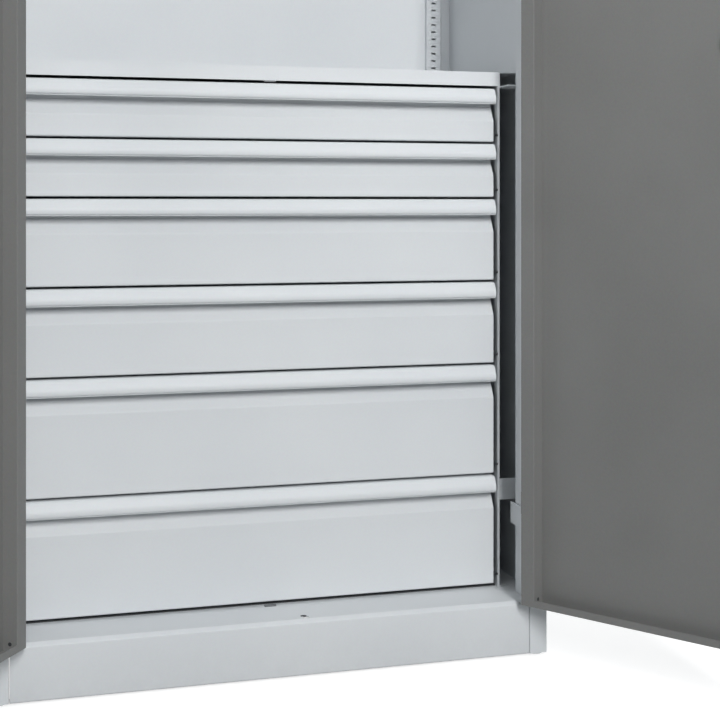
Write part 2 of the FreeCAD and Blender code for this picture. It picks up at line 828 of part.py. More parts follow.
left_pan, left_drains = door_pan(LEFT, "left")
swing("door_pan_left", LEFT, [drilled("door_left_drilled", left_pan, left_drains)])
right_pan, right_holes = door_pan(RIGHT, "right")
spindle_bore = size("spindle_radius") + size("spindle_running_gap")
cylinder_bore = size("cylinder_radius") + size("spindle_running_gap")
rod_bore = size("rod_radius") + size("rod_hole_gap")
lock_x = size("lock_inset")
lock_z = size("lock_level")
cylinder_z = lock_z + size("cylinder_rise")
for name, radius, z in (("spindle", spindle_bore, lock_z), ("cylinder", cylinder_bore, cylinder_z)):
    right_holes.append(drill(f"door_{name}_hole", radius, size("door_sheet"), "Y", lock_x, front, z))
for end, z in (("bottom", door_bottom), ("top", door_top - size("door_sheet"))):
    right_holes.append(drill(f"door_rod_hole_{end}", rod_bore, size("door_sheet"), "Z", lock_x, lock_y, z))
swing("door_pan_right", RIGHT, [drilled("door_right_drilled", right_pan, right_holes)])
swing("door_hinge_halves_left", LEFT, door_leaves[LEFT])
swing("door_hinge_halves_right", RIGHT, door_leaves[RIGHT])

# Overlap strip on the left door's free lip; its tongue stands just behind the right door.
strip_levels = (door_bottom + size("strip_end_gap"), door_top - size("strip_end_gap"))
strip_split = door_free - size("panel_joint")
strip_base = box(
    "strip_base",
    (size("strip_overlap") - size("strip_width"), strip_split),
    (door_inner, door_inner + size("strip_sheet")),
    strip_levels,
)
strip_tongue = box(
    "strip_tongue",
    (strip_split, size("strip_overlap")),
    (door_inner + size("strip_relief"), door_inner + size("strip_sheet")),
    strip_levels,
)
swing("door_overlap_strip", LEFT, [joined("strip", [strip_base, strip_tongue])])

# Rubber buffers on the end lips soften the closing of the doors.
for side, word in ((LEFT, "left"), (RIGHT, "right")):
    pads = []
    for end, z in (
        ("bottom", door_bottom + size("door_end_lip") / 2),
        ("top", door_top - size("door_end_lip") / 2),
    ):
        x = side * (door_free + size("buffer_inset"))
        name = f"buffer_{word}_{end}"
        pads.append(rod(name, size("buffer_radius"), size("buffer_height"), "Y", x, door_inner, z))
    swing(f"door_buffers_{word}", side, pads)

# Lock: a plate on the right door carries the swivel handle and the key cylinder. The
# handle's spindle turns a cam, and the cam's two crank pins move the rods apart.
plate_front = front - size("housing_plate_depth")
plate_reach = size("housing_plate_width") / 2
plate = box(
    "lock_plate_blank",
    (lock_x - plate_reach, lock_x + plate_reach),
    (plate_front, front),
    (lock_z - size("housing_plate_below"), lock_z + size("housing_plate_above")),
)
plate_bores = [
    drill(f"plate_{name}_bore", radius, size("housing_plate_depth"), "Y", lock_x, plate_front, z)
    for name, radius, z in (("spindle", spindle_bore, lock_z), ("cylinder", cylinder_bore, cylinder_z))
]
swing("lock_plate", RIGHT, [drilled("lock_plate_drilled", plate, plate_bores)])

handle_back = plate_front - size("handle_gap")
handle_front = handle_back - size("handle_depth")
handle_reach = size("handle_width") / 2
grip_outline = [
    (lock_x - size("handle_heel"), lock_z - handle_reach),
    (lock_x + size("handle_length"), lock_z - handle_reach),
    (lock_x + size("handle_length"), lock_z + handle_reach),
    (lock_x - size("handle_heel"), lock_z + handle_reach),
]
grip = folded("grip", "XZ_Plane", [grip_outline], size("handle_depth"))
bend(grip, "XZ_Plane", grip_outline, size("handle_bend"))
place(grip, y=handle_back)
cam_front = front + size("cam_depth")
cam_back = cam_front + size("cam_thickness")
spindle = rod("spindle", size("spindle_radius"), cam_back - handle_back, "Y", lock_x, handle_back, lock_z)
swing("swivel_handle", RIGHT, [joined("handle_whole", [grip, spindle])])

cam_disc = rod("cam_disc", size("cam_radius"), size("cam_thickness"), "Y", lock_x, cam_front, lock_z)
cam_bore = drill("cam_bore", spindle_bore, size("cam_thickness"), "Y", lock_x, cam_front, lock_z)
crank_pins = []
for side, word in ((LEFT, "left"), (RIGHT, "right")):
    pin_x = lock_x + side * size("crank_radius")
    pin_size = (size("crank_pin_radius"), size("crank_pin_length"))
    crank_pins.append(rod(f"crank_pin_{word}", *pin_size, "Y", pin_x, cam_front, lock_z))
cam_blank = drilled("cam_blank", cam_disc, [cam_bore])
swing("lock_cam", RIGHT, [joined("cam", [cam_blank] + crank_pins)])

cylinder_front = plate_front - size("cylinder_proud")
cylinder_core = rod(
    "cylinder_core", size("cylinder_radius"), front + size("door_sheet") - cylinder_front, "Y",
    lock_x, cylinder_front, cylinder_z
)
key_slot = box(
    "key_slot",
    (lock_x - size("key_slot_width") / 2, lock_x + size("key_slot_width") / 2),
    (cylinder_front - size("drill_overrun"), cylinder_front + size("key_slot_depth")),
    (cylinder_z - size("key_slot_length") / 2, cylinder_z + size("key_slot_length") / 2),
)
swing("lock_cylinder", RIGHT, [drilled("cylinder_slotted", cylinder_core, [key_slot])])


def lock_rod(word, facing, yoke_front):
    """A rod towards facing, +1 up or -1 down, with a slotted yoke round its crank pin."""
    yoke_back = yoke_front + size("yoke_sheet")
    pin = size("crank_pin_radius")
    swept = size("crank_radius")
    slack = size("yoke_gap")
    near = lock_z - facing * (pin + slack)
    far = lock_z + facing * (pin + size("yoke_relief"))
    slot_levels = (near, far) if facing == 1 else (far, near)
    slot_across = mirrored(-facing, -pin - slack, swept + pin + slack)
    slot_across = (lock_x + slot_across[0], lock_x + slot_across[1])
    margin = size("yoke_margin")
    yoke = box(
        f"yoke_{word}",
        (slot_across[0] - margin, slot_across[1] + margin),
        (yoke_front, yoke_back),
        (slot_levels[0] - margin, slot_levels[1] + margin),
    )
    overrun = size("drill_overrun")
    slot_along = (yoke_front - overrun, yoke_back + overrun)
    slot = box(f"yoke_slot_{word}", slot_across, slot_along, slot_levels)
    start = far + facing * size("yoke_gap")
    if facing == 1:
        low, high = start, door_top - size("rod_retreat")
    else:
        low, high = door_bottom + size("rod_retreat"), start
    bar = rod(f"bar_{word}", size("rod_radius"), high - low, "Z", lock_x, lock_y, low)
    return joined(f"rod_{word}", [drilled(f"yoke_slotted_{word}", yoke, [slot]), bar])


yoke_depth = size("yoke_sheet") + size("yoke_gap")
swing("lock_rod_upper", RIGHT, [lock_rod("upper", 1, cam_back + size("yoke_gap"))])
swing("lock_rod_lower", RIGHT, [lock_rod("lower", -1, cam_back + size("yoke_gap") + yoke_depth)])

# Guides on the inside of the door sheet keep the rods in line.
guides = []
guide_levels = [
    ("foot", door_bottom + size("guide_end_offset")),
    ("low", lock_z - size("guide_offset")),
    ("high", lock_z + size("guide_offset")),
    ("head", door_top - size("guide_end_offset")),
]
for word, z in guide_levels:
    reach = size("guide_width") / 2
    block = box(
        f"guide_block_{word}",
        (lock_x - reach, lock_x + reach),
        (front + size("door_sheet"), lock_y + size("rod_radius") + size("yoke_sheet")),
        (z, z + size("guide_height")),
    )
    guide_bore = size("rod_radius") + size("rod_running_gap")
    bore = drill(f"guide_bore_{word}", guide_bore, size("guide_height"), "Z", lock_x, lock_y, z)
    guides.append(drilled(f"guide_{word}", block, [bore]))
swing("rod_guides", RIGHT, guides)

# Runners: each side has a fixed channel on the housing, a middle rail with rollers at both
# faces, and a channel on the drawer box. The rollers run between the channel flanges.
box_half = housing_outside - size("housing_sheet") - size("box_side_gap")
rail_start = drawer_face + size("front_box_depth") + size("rail_front_gap")
box_rear = housing_rear - size("box_rear_gap")
rail_end = box_rear
fixed_rail_face = housing_outside - size("housing_sheet")
drawer_rail_lip = box_half + size("rail_flange")
bar_low = drawer_rail_lip + size("middle_gap")
bar_high = bar_low + size("middle_bar")
fixed_rail_lip = bar_high + size("middle_gap")
roller_radius = size("rail_height") / 2 - size("rail_sheet") - size("roller_running_gap")


def channel(name, side, web, lip, middle):
    """A rail of channel section; web and lip are the X spans of its web and flanges."""
    along = (rail_start, rail_end)
    low = middle - size("rail_height") / 2
    high = middle + size("rail_height") / 2
    wall = size("rail_sheet")
    return joined(name, [
        box(f"{name}_web", mirrored(side, *web), along, (low, high)),
        box(f"{name}_low", mirrored(side, *lip), along, (low, low + wall)),
        box(f"{name}_high", mirrored(side, *lip), along, (high - wall, high)),
    ])


def middle_rail(name, side, middle):
    """A flat bar with two rollers into each channel."""
    reach = size("middle_bar_height") / 2
    across = mirrored(side, bar_low, bar_high)
    pieces = [box(f"{name}_bar", across, (rail_start, rail_end), (middle - reach, middle + reach))]
    wall = size("rail_sheet")
    inward = (box_half + wall + size("roller_end_gap"), bar_low)
    outward = (bar_high, fixed_rail_face - wall - size("roller_end_gap"))
    near = rail_start + size("roller_inset")
    far = rail_end - size("roller_inset")
    for word, span, y in (
        ("in_front", inward, near),
        ("in_rear", inward, near + size("roller_spacing")),
        ("out_front", outward, far - size("roller_spacing")),
        ("out_rear", outward, far),
    ):
        low, high = mirrored(side, *span)
        pieces.append(rod(f"{name}_{word}", roller_radius, high - low, "X", low, y, middle))
    return joined(name, pieces)


# Drawers: a folded front with a rolled grip over a finger recess, and a sheet box behind.
def drawer_front_outline(top, bottom):
    wall = size("front_sheet")
    lip = drawer_face - size("lip_proud")
    lip_foot = top - size("lip_height")
    recess = drawer_face + size("recess_depth")
    recess_top = lip_foot - size("recess_slant")
    slope_end = top - size("recess_height")
    rear = drawer_face + size("front_box_depth")
    return [
        (rear, top),
        (lip, top),
        (lip, lip_foot),
        (recess, recess_top),
        (drawer_face, slope_end),
        (drawer_face, bottom),
        (rear, bottom),
        (rear, bottom + wall),
        (drawer_face + wall, bottom + wall),
        (drawer_face + wall, slope_end - size("slope_back_drop")),
        (recess + size("recess_back"), recess_top + size("recess_back_rise")),
        (lip + wall, lip_foot + wall),
        (lip + wall, top - wall),
        (rear, top - wall),
    ]


cabinet_rails = []
top_line = stack_top
for number, pitch in enumerate(DRAWER_PITCHES, start=1):
    top = top_line - size("drawer_reveal") / 2
    top_line = top_line - size(pitch)
    bottom = top_line + size("drawer_reveal") / 2
    reach = housing_inside - size("drawer_side_gap")
    outline = drawer_front_outline(top, bottom)
    face = folded(f"front_{number}", "YZ_Plane", [outline], 2 * reach)
    wall = size("front_sheet")
    lip = drawer_face - size("lip_proud")
    bend(face, "YZ_Plane", [(lip, top), (lip + wall, top - wall)], size("lip_round"))
    place(face, x=-reach)
    keep(f"drawer_{number}_front", face)

    wall = size("box_sheet")
    box_front = drawer_face + size("front_box_depth")
    box_floor = bottom + size("box_rise")
    box_rim = top - size("box_top_gap")
    across = (-box_half, box_half)
    inside = (wall - box_half, box_half - wall)
    whole = box(f"box_{number}_block", across, (box_front, box_rear), (box_floor, box_rim))
    space_along = (box_front + wall, box_rear - wall)
    space_levels = (box_floor + wall, box_rim + size("drill_overrun"))
    space = box(f"box_{number}_space", inside, space_along, space_levels)
    tray = drilled(f"box_{number}_tray", whole, [space])
    panel = box(f"box_{number}_panel", across, (box_front, box_front + wall), (bottom, top))
    keep(f"drawer_{number}_box", joined(f"box_{number}", [tray, panel]))

    middle = bottom + size("rail_level")
    drawer_rails = []
    middle_rails = []
    for side, word in ((LEFT, "left"), (RIGHT, "right")):
        name = f"{number}_{word}"
        web = size("rail_sheet")
        drawer_web = (box_half, box_half + web)
        drawer_lip = (box_half, drawer_rail_lip)
        drawer_rails.append(channel(f"drawer_rail_{name}", side, drawer_web, drawer_lip, middle))
        fixed_web = (fixed_rail_face - web, fixed_rail_face)
        fixed_lip = (fixed_rail_lip, fixed_rail_face)
        cabinet_rails.append(channel(f"fixed_rail_{name}", side, fixed_web, fixed_lip, middle))
        middle_rails.append(middle_rail(f"middle_rail_{name}", side, middle))
    keep(f"drawer_{number}_rails", group(f"rails_{number}", drawer_rails))
    keep(f"middle_rails_{number}", group(f"middle_{number}", middle_rails))
keep("cabinet_rails", group("rails_fixed", cabinet_rails))

doc.recompute()
for feature in doc.Objects:
    if "Invalid" in feature.State or "Error" in feature.State:
        raise ValueError(f"{feature.Name} did not build: {feature.State}")
for label, feature in subparts.items():
    if feature.Shape.isNull() or not feature.Shape.isValid():
        raise ValueError(f"{label} has no valid shape")
    if not feature.Shape.Solids:
        raise ValueError(f"{label} holds no solid")

os.makedirs("parts", exist_ok=True)
for label, feature in subparts.items():
    feature.Shape.exportStep(f"parts/{label}.step")
print(len(subparts), "sub-parts")
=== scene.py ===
import math

import bmesh
import bpy
from mathutils import Matrix, Vector


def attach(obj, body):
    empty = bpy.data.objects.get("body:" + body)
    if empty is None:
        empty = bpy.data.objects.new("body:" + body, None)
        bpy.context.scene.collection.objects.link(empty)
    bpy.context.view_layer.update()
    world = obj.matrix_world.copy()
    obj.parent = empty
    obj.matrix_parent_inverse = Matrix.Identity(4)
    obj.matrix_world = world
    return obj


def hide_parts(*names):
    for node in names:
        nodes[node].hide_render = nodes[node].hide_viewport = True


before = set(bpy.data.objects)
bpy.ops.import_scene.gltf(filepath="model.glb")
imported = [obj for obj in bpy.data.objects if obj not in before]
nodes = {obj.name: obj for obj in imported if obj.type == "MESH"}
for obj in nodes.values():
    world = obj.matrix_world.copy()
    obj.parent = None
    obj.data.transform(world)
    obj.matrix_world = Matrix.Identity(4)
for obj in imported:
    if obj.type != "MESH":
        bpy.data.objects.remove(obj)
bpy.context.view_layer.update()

# Studio: a pale floor, a white surround and six soft lamps, seen from the left of the
# cupboard at breast height. Surround and floor show white to the camera and in reflections,
# while the light that they give stays soft, and the floor keeps the cupboard's shadow.
quarter_turn = math.radians(90)
camera_place = (-0.5294, -2.7666, 0.790)
camera_heading = math.radians(-16.29)
camera_lens = 70.0
film_width = 36.0
camera_shift_down = -0.2172
pure_white = (1.0, 1.0, 1.0, 1.0)
surround_tint = (0.72, 0.91, 1.0, 1.0)
surround_light = 0.11
floor_colour = (0.50, 0.50, 0.50, 1.0)
floor_glow = 0.72
full_glow = 1.0
glow_reach = (1.5, 3.5)
floor_reach = 9.0
floor_level = -0.0005


def placed(name, data):
    """A new object in the scene."""
    made = bpy.data.objects.new(name, data)
    bpy.context.scene.collection.objects.link(made)
    return made


def add_node(tree, kind, **inputs):
    """A new node in a tree. Its inputs are set by name, with _ for each space."""
    node = tree.nodes.new(kind)
    for name, value in inputs.items():
        node.inputs[name.replace("_", " ")].default_value = value
    return node


def calculated(tree, operation, first, second):
    """The sum or product of two values from 0 to 1; the second may be a plain number."""
    node = tree.nodes.new("ShaderNodeMath")
    node.operation = operation
    node.use_clamp = True
    tree.links.new(first, node.inputs[0])
    if isinstance(second, float):
        node.inputs[1].default_value = second
    else:
        tree.links.new(second, node.inputs[1])
    return node.outputs[0]


def white_to_the_eye(tree):
    """1 for rays from the camera, in reflections and through glass, and 0 for the light itself."""
    path = tree.nodes.new("ShaderNodeLightPath")
    total = path.outputs["Is Camera Ray"]
    for kind in ("Is Glossy Ray", "Is Transmission Ray"):
        total = calculated(tree, "ADD", total, path.outputs[kind])
    return total


camera = placed("camera", bpy.data.cameras.new("camera"))
camera.data.lens = camera_lens
camera.data.sensor_width = film_width
camera.data.shift_y = camera_shift_down
camera.location = camera_place
camera.rotation_euler = (quarter_turn, 0.0, camera_heading)
bpy.context.scene.camera = camera
bpy.context.scene.view_settings.view_transform = "Standard"

world = bpy.data.worlds.new("surround")
world.use_nodes = True
bpy.context.scene.world = world
sky = world.node_tree
sky.nodes.clear()
soft = add_node(sky, "ShaderNodeBackground", Color=surround_tint, Strength=surround_light)
white = add_node(sky, "ShaderNodeBackground", Color=pure_white)
sky_mix = sky.nodes.new("ShaderNodeMixShader")
sky_end = sky.nodes.new("ShaderNodeOutputWorld")
white_share, soft_side, white_side = sky_mix.inputs
sky.links.new(white_to_the_eye(sky), white_share)
sky.links.new(soft.outputs["Background"], soft_side)
sky.links.new(white.outputs["Background"], white_side)
sky.links.new(sky_mix.outputs["Shader"], sky_end.inputs["Surface"])

floor_mesh = bpy.data.meshes.new("floor")
floor_corners = [
    (across * floor_reach, ahead * floor_reach, floor_level)
    for across, ahead in ((-1, -1), (1, -1), (1, 1), (-1, 1))
]
floor_mesh.from_pydata(floor_corners, [], [(0, 1, 2, 3)])
floor = placed("floor", floor_mesh)
floor_paint = bpy.data.materials.new("floor_paint")
floor_paint.use_nodes = True
ground = floor_paint.node_tree
ground.nodes.clear()
ground_matt = add_node(ground, "ShaderNodeBsdfDiffuse", Color=floor_colour)
ground_glow = ground.nodes.new("ShaderNodeEmission")
ground_coords = ground.nodes.new("ShaderNodeTexCoord")
from_middle = ground.nodes.new("ShaderNodeVectorMath")
from_middle.operation = "LENGTH"
fade = add_node(
    ground, "ShaderNodeMapRange",
    From_Min=glow_reach[0], From_Max=glow_reach[1], To_Min=floor_glow, To_Max=full_glow,
)
ground_sum = ground.nodes.new("ShaderNodeAddShader")
ground_end = ground.nodes.new("ShaderNodeOutputMaterial")
ground.links.new(ground_coords.outputs["Object"], from_middle.inputs[0])
ground.links.new(from_middle.outputs["Value"], fade.inputs["Value"])
white_floor = calculated(ground, "MULTIPLY", white_to_the_eye(ground), fade.outputs["Result"])
ground.links.new(white_floor, ground_glow.inputs["Strength"])
ground.links.new(ground_matt.outputs["BSDF"], ground_sum.inputs[0])
ground.links.new(ground_glow.outputs["Emission"], ground_sum.inputs[1])
ground.links.new(ground_sum.outputs["Shader"], ground_end.inputs["Surface"])
floor_mesh.materials.append(floor_paint)

for lamp_name, place, aim, width, height, power, spread in (
    ("key_lamp", (0.14, -6.5, 3.6), (0.0, -0.4, 0.6), 1.0, 3.2, 313.0, 180.0),
    ("fill_lamp", (-3.4, -2.9, 2.3), (0.44, 0.0, 1.8), 1.2, 1.2, 3.4, 40.0),
    ("top_lamp", (0.0, -1.3, 5.5), (0.0, -0.6, 0.1), 1.6, 1.2, 38.0, 180.0),
    ("left_lamp", (-3.8, 0.9, 1.8), (-0.5, -0.1, 0.9), 2.0, 1.6, 45.0, 180.0),
    ("right_lamp", (3.8, 0.9, 1.8), (0.5, -0.1, 0.9), 2.0, 1.6, 45.0, 180.0),
    ("back_lamp", (0.5, 3.6, 3.4), (0.0, 0.0, 1.0), 3.0, 2.0, 60.0, 180.0),
):
    lamp = placed(lamp_name, bpy.data.lights.new(lamp_name, "AREA"))
    lamp.data.shape = "RECTANGLE"
    lamp.data.size = width
    lamp.data.size_y = height
    lamp.data.energy = power
    lamp.data.spread = math.radians(spread)
    lamp.location = place
    lamp.rotation_euler = (Vector(aim) - Vector(place)).to_track_quat("-Z", "Y").to_euler()

# Carcass: side panels, back, roof and base pan of folded sheet steel, welded together and
# baked in a light-grey powder coat. The coat has a fine orange-peel skin, a little uneven in
# tone and gloss.
carcass_colour = (0.70, 0.722, 0.74, 1.0)
carcass_shade = (0.68, 0.703, 0.724, 1.0)
carcass_gloss = (0.42, 0.54)
coat_specular = 0.30
cloud_scale = 3.5
cloud_span = (0.38, 0.62)
speck_scale = 260.0
speck_share = 0.12
shine_scale = 14.0
peel_scale = 900.0
peel_strength = 0.10
peel_depth = 0.0004
scuff_top = 0.09
scuff_scale = 38.0
scuff_colour = (0.30, 0.30, 0.29, 1.0)


def blank_material(name):
    """A new material with its tree, its surface shader and the piece's own coordinates."""
    material = bpy.data.materials.new(name)
    material.use_nodes = True
    tree = material.node_tree
    return material, tree, tree.nodes["Principled BSDF"], tree.nodes.new("ShaderNodeTexCoord")


def noise(tree, coords, scale, detail, roughness=0.5):
    """A noise texture on the piece's own coordinates."""
    texture = add_node(
        tree, "ShaderNodeTexNoise", Scale=scale, Detail=detail, Roughness=roughness,
    )
    tree.links.new(coords.outputs["Object"], texture.inputs["Vector"])
    return texture


def two_tone(tree, pattern, dark, light, span=(0.0, 1.0)):
    """A colour that goes from dark to light where a pattern goes through its span."""
    ramp = tree.nodes.new("ShaderNodeValToRGB")
    for element, position, colour in zip(ramp.color_ramp.elements, span, (dark, light)):
        element.position = position
        element.color = colour
    tree.links.new(pattern, ramp.inputs["Fac"])
    return ramp.outputs["Color"]


def uneven_gloss(tree, surface, pattern, gloss):
    """Let the surface's roughness follow a pattern between two values."""
    shine = add_node(tree, "ShaderNodeMapRange", To_Min=gloss[0], To_Max=gloss[1])
    tree.links.new(pattern, shine.inputs["Value"])
    tree.links.new(shine.outputs["Result"], surface.inputs["Roughness"])


def relief(tree, surface, pattern, strength, depth):
    """Raise a pattern on the surface."""
    bump = add_node(tree, "ShaderNodeBump", Strength=strength, Distance=depth)
    tree.links.new(pattern, bump.inputs["Height"])
    tree.links.new(bump.outputs["Normal"], surface.inputs["Normal"])


def powder_coat(name, colour, shade, gloss, scuff=0.0):
    """Baked powder: two near tones in clouds, fine peel in the bump, and scuffs near the floor."""
    paint, tree, surface, coords = blank_material(name)
    surface.inputs["Specular IOR Level"].default_value = coat_specular
    clouds = noise(tree, coords, cloud_scale, detail=4.0)
    specks = noise(tree, coords, speck_scale, detail=2.0)
    speckled = tree.nodes.new("ShaderNodeMix")
    speckled.data_type = "RGBA"
    speckled.blend_type = "SOFT_LIGHT"
    speckled.inputs["Factor"].default_value = speck_share
    clouded = two_tone(tree, clouds.outputs["Fac"], shade, colour, cloud_span)
    tree.links.new(clouded, speckled.inputs["A"])
    tree.links.new(specks.outputs["Color"], speckled.inputs["B"])
    finished = speckled.outputs["Result"]
    if scuff:
        place = tree.nodes.new("ShaderNodeSeparateXYZ")
        tree.links.new(coords.outputs["Object"], place.inputs["Vector"])
        near_floor = add_node(tree, "ShaderNodeMapRange", From_Min=scuff_top, From_Max=0.0)
        tree.links.new(place.outputs["Z"], near_floor.inputs["Value"])
        marks = noise(tree, coords, scuff_scale, detail=6.0, roughness=0.7).outputs["Fac"]
        marked = calculated(tree, "MULTIPLY", near_floor.outputs["Result"], marks)
        dusty = tree.nodes.new("ShaderNodeMix")
        dusty.data_type = "RGBA"
        dusty.inputs["B"].default_value = scuff_colour
        tree.links.new(calculated(tree, "MULTIPLY", marked, scuff), dusty.inputs["Factor"])
        tree.links.new(finished, dusty.inputs["A"])
        finished = dusty.outputs["Result"]
    tree.links.new(finished, surface.inputs["Base Color"])
    shine = noise(tree, coords, shine_scale, detail=5.0, roughness=0.6)
    uneven_gloss(tree, surface, shine.outputs["Fac"], gloss)
    peel = noise(tree, coords, peel_scale, detail=3.0)
    relief(tree, surface, peel.outputs["Fac"], peel_strength, peel_depth)
    return paint


def finish(material, *names):
    """Give CAD nodes their material."""
    for name in names:
        data = nodes[name].data
        data.materials.clear()
        data.materials.append(material)


carcass_paint = powder_coat("carcass_paint", carcass_colour, carcass_shade, carcass_gloss)
finish(carcass_paint, "side_panel_left", "side_panel_right", "back_panel", "roof_panel", "base_pan")

# Back fixings: zinc-plated pop rivets hold the back panel to the rear flanges of the side
# panels, about every 95 mm, and to the roof with nine along its edge.
rivet_radius = 0.0032
rivet_rise = 0.0011
rivet_inset = 0.010
rivet_pitch = 0.093
roof_rivets = 9
back_half_width = 0.475
back_top = 1.940
back_bottom = 0.045
face_rear = (-quarter_turn, 0.0, 0.0)
head_segments = 16
head_rings = 8
zinc_tone = (0.60, 0.61, 0.62)
zinc_gloss = (0.26, 0.42)
crystal_scale = 160.0
crystal_shade = 0.86
smear_scale = 45.0
smear_strength = 0.08
smear_depth = 0.0003


def shaded(tone, share=1.0):
    """A tone of red, green and blue, darkened to a share of itself, as an opaque colour."""
    return tuple(share * value for value in tone) + (1.0,)


def plating(name, tone, gloss):
    """Bright plating: a grey metal with faint crystal patches and smears."""
    metal, tree, surface, coords = blank_material(name)
    surface.inputs["Metallic"].default_value = 1.0
    crystals = add_node(tree, "ShaderNodeTexVoronoi", Scale=crystal_scale)
    tree.links.new(coords.outputs["Object"], crystals.inputs["Vector"])
    patches = two_tone(tree, crystals.outputs["Color"], shaded(tone, crystal_shade), shaded(tone))
    tree.links.new(patches, surface.inputs["Base Color"])
    smears = noise(tree, coords, smear_scale, detail=5.0).outputs["Fac"]
    uneven_gloss(tree, surface, smears, gloss)
    relief(tree, surface, smears, smear_strength, smear_depth)
    return metal


def geometry_tree(name, result, **inputs):
    """A new geometry tree with named inputs, and its first and last node."""
    tree = bpy.data.node_groups.new(name, "GeometryNodeTree")
    for label, kind in inputs.items():
        tree.interface.new_socket(
            label.replace("_", " "), in_out="INPUT", socket_type=f"NodeSocket{kind}",
        )
    tree.interface.new_socket(result, in_out="OUTPUT", socket_type="NodeSocketGeometry")
    return tree, tree.nodes.new("NodeGroupInput"), tree.nodes.new("NodeGroupOutput")


def hand_out(tree, shape, material, end):
    """End a tree: its shape made real, smooth and in its material."""
    for kind in ("RealizeInstances", "SetShadeSmooth", "SetMaterial"):
        last = tree.nodes.new(f"GeometryNode{kind}")
        tree.links.new(shape, last.inputs["Geometry"])
        shape = last.outputs["Geometry"]
    tree.links.new(material, last.inputs["Material"])
    tree.links.new(shape, end.inputs[0])


def head_tree():
    """A node tree that puts one domed head on every point of a mesh."""
    tree, begin, end = geometry_tree(
        "domed_heads", "Heads",
        Points="Geometry", Head_Radius="Float", Head_Rise="Float", Head_Turn="Vector",
        Material="Material",
    )
    ball = add_node(
        tree, "GeometryNodeMeshUVSphere", Segments=head_segments, Rings=head_rings, Radius=1.0,
    )
    size = tree.nodes.new("ShaderNodeCombineXYZ")
    squeeze = tree.nodes.new("GeometryNodeTransform")
    heads = tree.nodes.new("GeometryNodeInstanceOnPoints")
    tree.links.new(begin.outputs["Head Radius"], size.inputs["X"])
    tree.links.new(begin.outputs["Head Radius"], size.inputs["Y"])
    tree.links.new(begin.outputs["Head Rise"], size.inputs["Z"])
    tree.links.new(ball.outputs["Mesh"], squeeze.inputs["Geometry"])
    tree.links.new(size.outputs["Vector"], squeeze.inputs["Scale"])
    tree.links.new(begin.outputs["Points"], heads.inputs["Points"])
    tree.links.new(squeeze.outputs["Geometry"], heads.inputs["Instance"])
    tree.links.new(begin.outputs["Head Turn"], heads.inputs["Rotation"])
    hand_out(tree, heads.outputs["Instances"], begin.outputs["Material"], end)
    return tree


def grown(name, points, edges, tree, body, slot, **values):
    """A plain mesh that a node tree makes from points and edges, riding on a body."""
    mesh = bpy.data.meshes.new(name)
    mesh.from_pydata(points, edges, [])
    seed = placed(name, mesh)
    growth = seed.modifiers.new("growth", "NODES")
    growth.node_group = tree
    for item in tree.interface.items_tree:
        label = item.name.lower().replace(" ", "_")
        if label in values:
            growth[item.identifier] = values[label]
    bpy.context.view_layer.update()
    graph = bpy.context.evaluated_depsgraph_get()
    made = bpy.data.meshes.new_from_object(seed.evaluated_get(graph))
    seed.modifiers.remove(growth)
    seed.data = made
    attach(seed, body)
    return seed


zinc = plating("zinc", zinc_tone, zinc_gloss)
domed_heads = head_tree()
rivet_points = []
rivet_steps = int((back_top - back_bottom) / rivet_pitch)
for side in (-1, 1):
    for step in range(rivet_steps + 1):
        height = back_bottom + step * (back_top - back_bottom) / rivet_steps
        rivet_points.append((side * (back_half_width - rivet_inset), 0.0, height))
for number in range(1, roof_rivets + 1):
    share = 2 * number / (roof_rivets + 1) - 1
    rivet_points.append((share * (back_half_width - rivet_inset), 0.0, back_top))
grown(
    "back_rivets", rivet_points, [], domed_heads, "cabinet", "zinc",
    head_radius=rivet_radius, head_rise=rivet_rise, head_turn=face_rear, material=zinc,
)

# Levelling feet: a turned steel sole with a thin flange on the floor and a hexagon nut over
# it, zinc plated, on a threaded stud that goes up through a gusset welded in each corner.
foot_across = 0.4585
foot_depths = (-0.484, -0.0187)
sole_outline = [
    (0.0, 0.0), (0.0126, 0.0), (0.0132, 0.0006), (0.0132, 0.0020), (0.0094, 0.0034),
    (0.0090, 0.0066), (0.0076, 0.008),
]
thread_radius = 0.005
thread_depth = 0.0006
thread_pitch = 0.00175
thread_start = 0.008
stud_top = 0.0598
nut_reach = 0.0086
nut_foot = 0.0335
nut_top = 0.0395
nut_sides = 6
foot_steps = 28
weld_distance = 1e-6


def piece(name, bm, material, body, sharp_above=35.0):
    """Close a mesh: doubles merged, faces outwards, smooth but for the real edges."""
    bmesh.ops.remove_doubles(bm, verts=bm.verts, dist=weld_distance)
    bmesh.ops.recalc_face_normals(bm, faces=bm.faces)
    for face in bm.faces:
        face.smooth = True
    for edge in bm.edges:
        if len(edge.link_faces) == 2:
            edge.smooth = edge.calc_face_angle(0.0) < math.radians(sharp_above)
    mesh = bpy.data.meshes.new(name)
    bm.to_mesh(mesh)
    bm.free()
    mesh.materials.append(material)
    made = placed(name, mesh)
    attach(made, body)
    return made


def turned(bm, outline, matrix, steps):
    """Add a turned form: outline is (radius, height) from the middle of one end to the other."""
    rings = []
    for radius, height in outline:
        if radius == 0.0:
            rings.append([bm.verts.new(matrix @ Vector((0.0, 0.0, height)))])
            continue
        ring = []
        for step in range(steps):
            angle = 2 * math.pi * step / steps
            point = Vector((radius * math.cos(angle), radius * math.sin(angle), height))
            ring.append(bm.verts.new(matrix @ point))
        rings.append(ring)
    for lower, upper in zip(rings, rings[1:]):
        for step in range(steps):
            after = (step + 1) % steps
            corners = [lower[step % len(lower)], lower[after % len(lower)]]
            corners += [upper[after % len(upper)], upper[step % len(upper)]]
            unique = list(dict.fromkeys(corners))
            if len(unique) > 2:
                bm.faces.new(unique)


